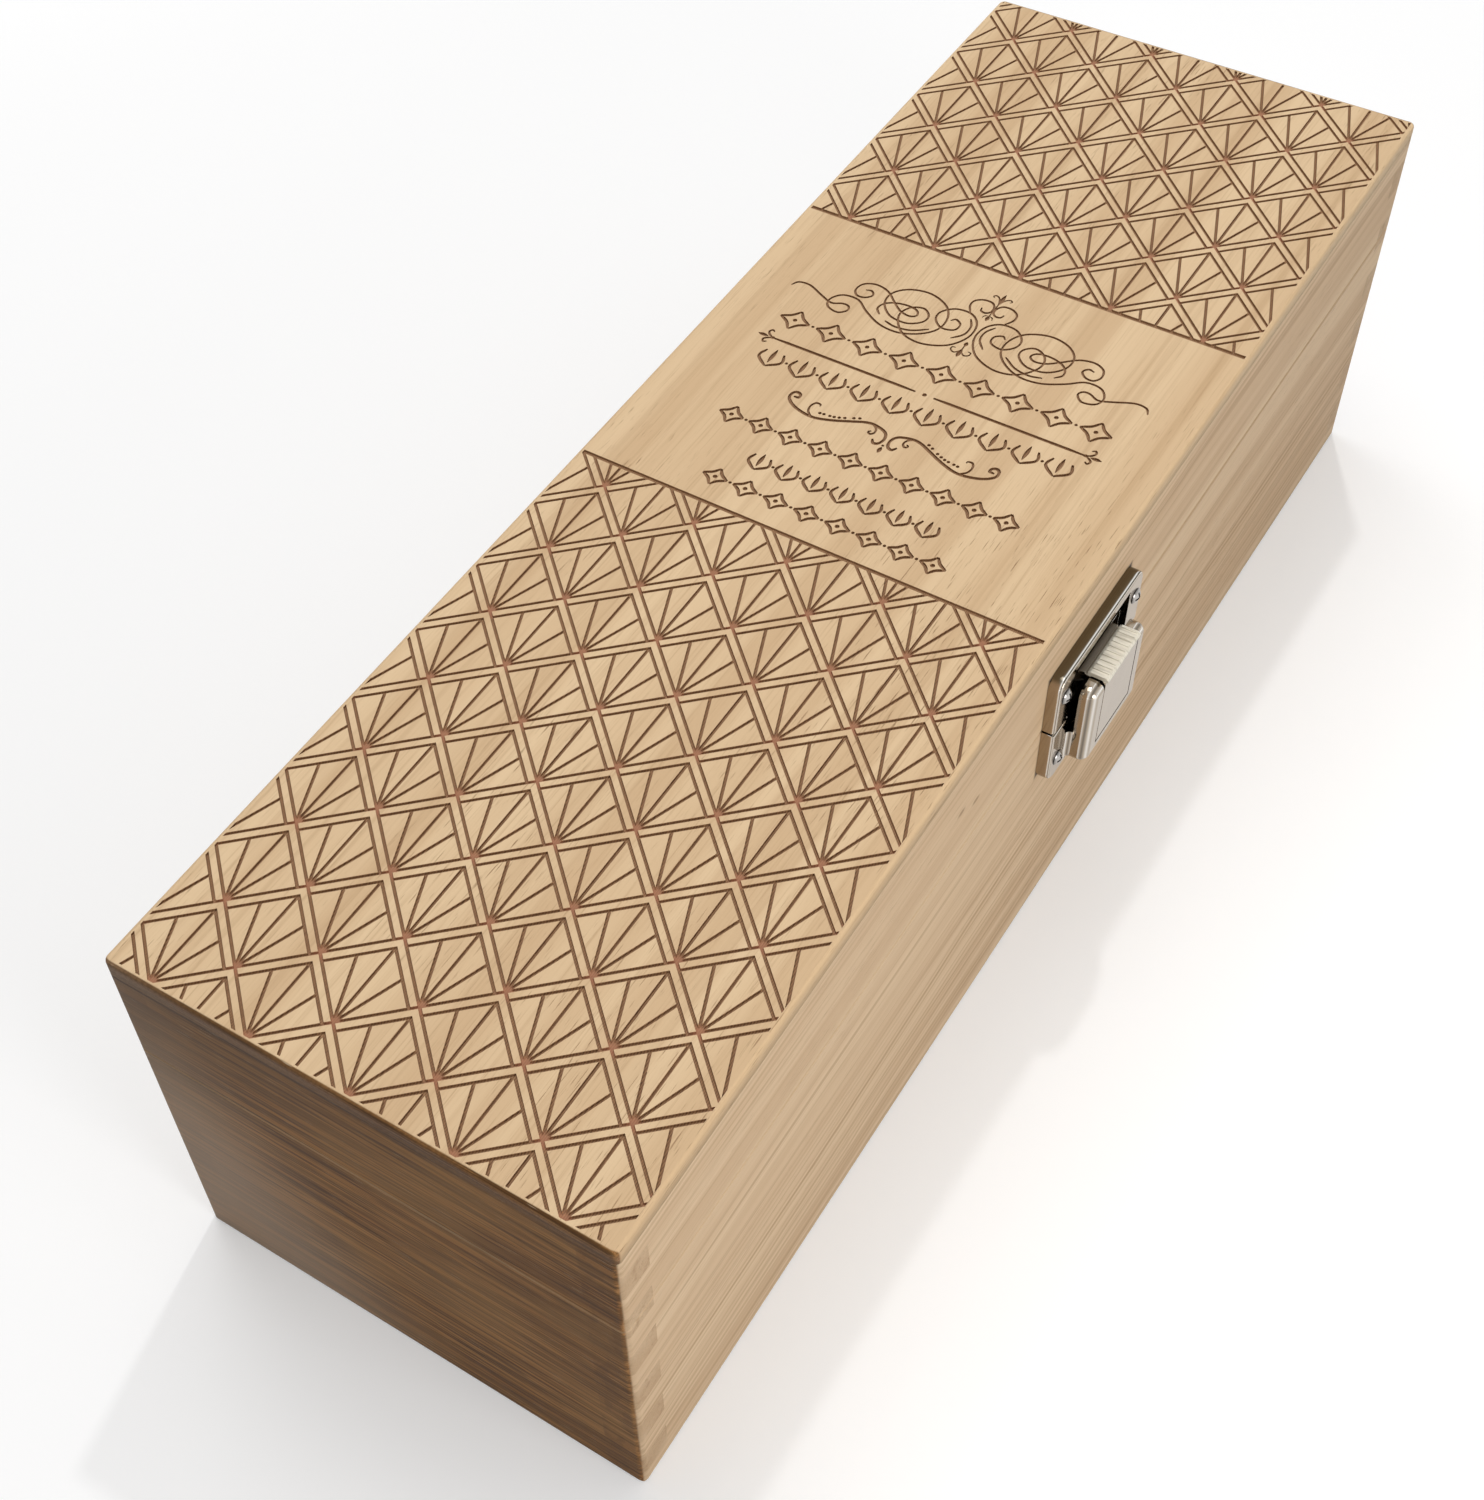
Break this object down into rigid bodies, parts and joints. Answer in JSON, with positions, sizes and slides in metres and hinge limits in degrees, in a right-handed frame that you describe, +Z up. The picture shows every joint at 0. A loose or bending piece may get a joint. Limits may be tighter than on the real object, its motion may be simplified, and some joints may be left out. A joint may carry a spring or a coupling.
{
  "type": "wooden wine box",
  "caption": "Hinged wooden box for a single bottle, finger-jointed, with an engraved lattice lid and a sprung front catch.",
  "frame": {"origin": "middle of the wooden box's underside", "axes": "+X along the box, -Y out of the front face with the catch, +Z up"},
  "size_m": [0.35, 0.1253, 0.099],
  "materials": {
    "board_wood": "plain satin, straight grain",
    "panel_wood": "plain satin, laser engraved",
    "bottom_wood": "plain, thin panel",
    "nickel_plate": "bright nickel plated",
    "bare_steel": "drawn steel wire"
  },
  "bodies": {
    "base": {"base_front_board": "board_wood", "base_back_board": "board_wood", "base_left_end": "board_wood", "base_right_end": "board_wood", "bottom_panel": "bottom_wood", "hinge_base_leaf_left": "nickel_plate", "hinge_pin_left": "bare_steel", "hinge_base_leaf_right": "nickel_plate", "hinge_pin_right": "bare_steel", "hinge_base_screws": "nickel_plate", "catch_base_plate": "nickel_plate", "catch_housing": "nickel_plate", "catch_pivot_pin": "bare_steel", "catch_spring": "bare_steel", "catch_base_screws": "nickel_plate"},
    "lid": {"lid_front_board": "board_wood", "lid_back_board": "board_wood", "lid_left_end": "board_wood", "lid_right_end": "board_wood", "lid_top_panel": "panel_wood", "hinge_lid_leaf_left": "nickel_plate", "hinge_lid_leaf_right": "nickel_plate", "hinge_lid_screws": "nickel_plate", "strike_plate": "nickel_plate", "strike_plate_screws": "nickel_plate"},
    "latch": {"catch_tongue": "nickel_plate"}
  },
  "joints": [
    {"name": "lid_hinge", "type": "hinge", "parent": "base", "child": "lid", "pos_m": [0, 0.05765, 0.0691], "axis": [-1, 0, 0], "range_deg": [0, 100]},
    {"name": "catch_pivot", "type": "hinge", "parent": "base", "child": "latch", "pos_m": [0.0015, -0.0611, 0.0605], "axis": [1, 0, 0], "range_deg": [0, 8], "stiffness_Nm_per_rad": 0.02, "springref_deg": -20.05, "deforming": ["catch_spring"]}
  ]
}
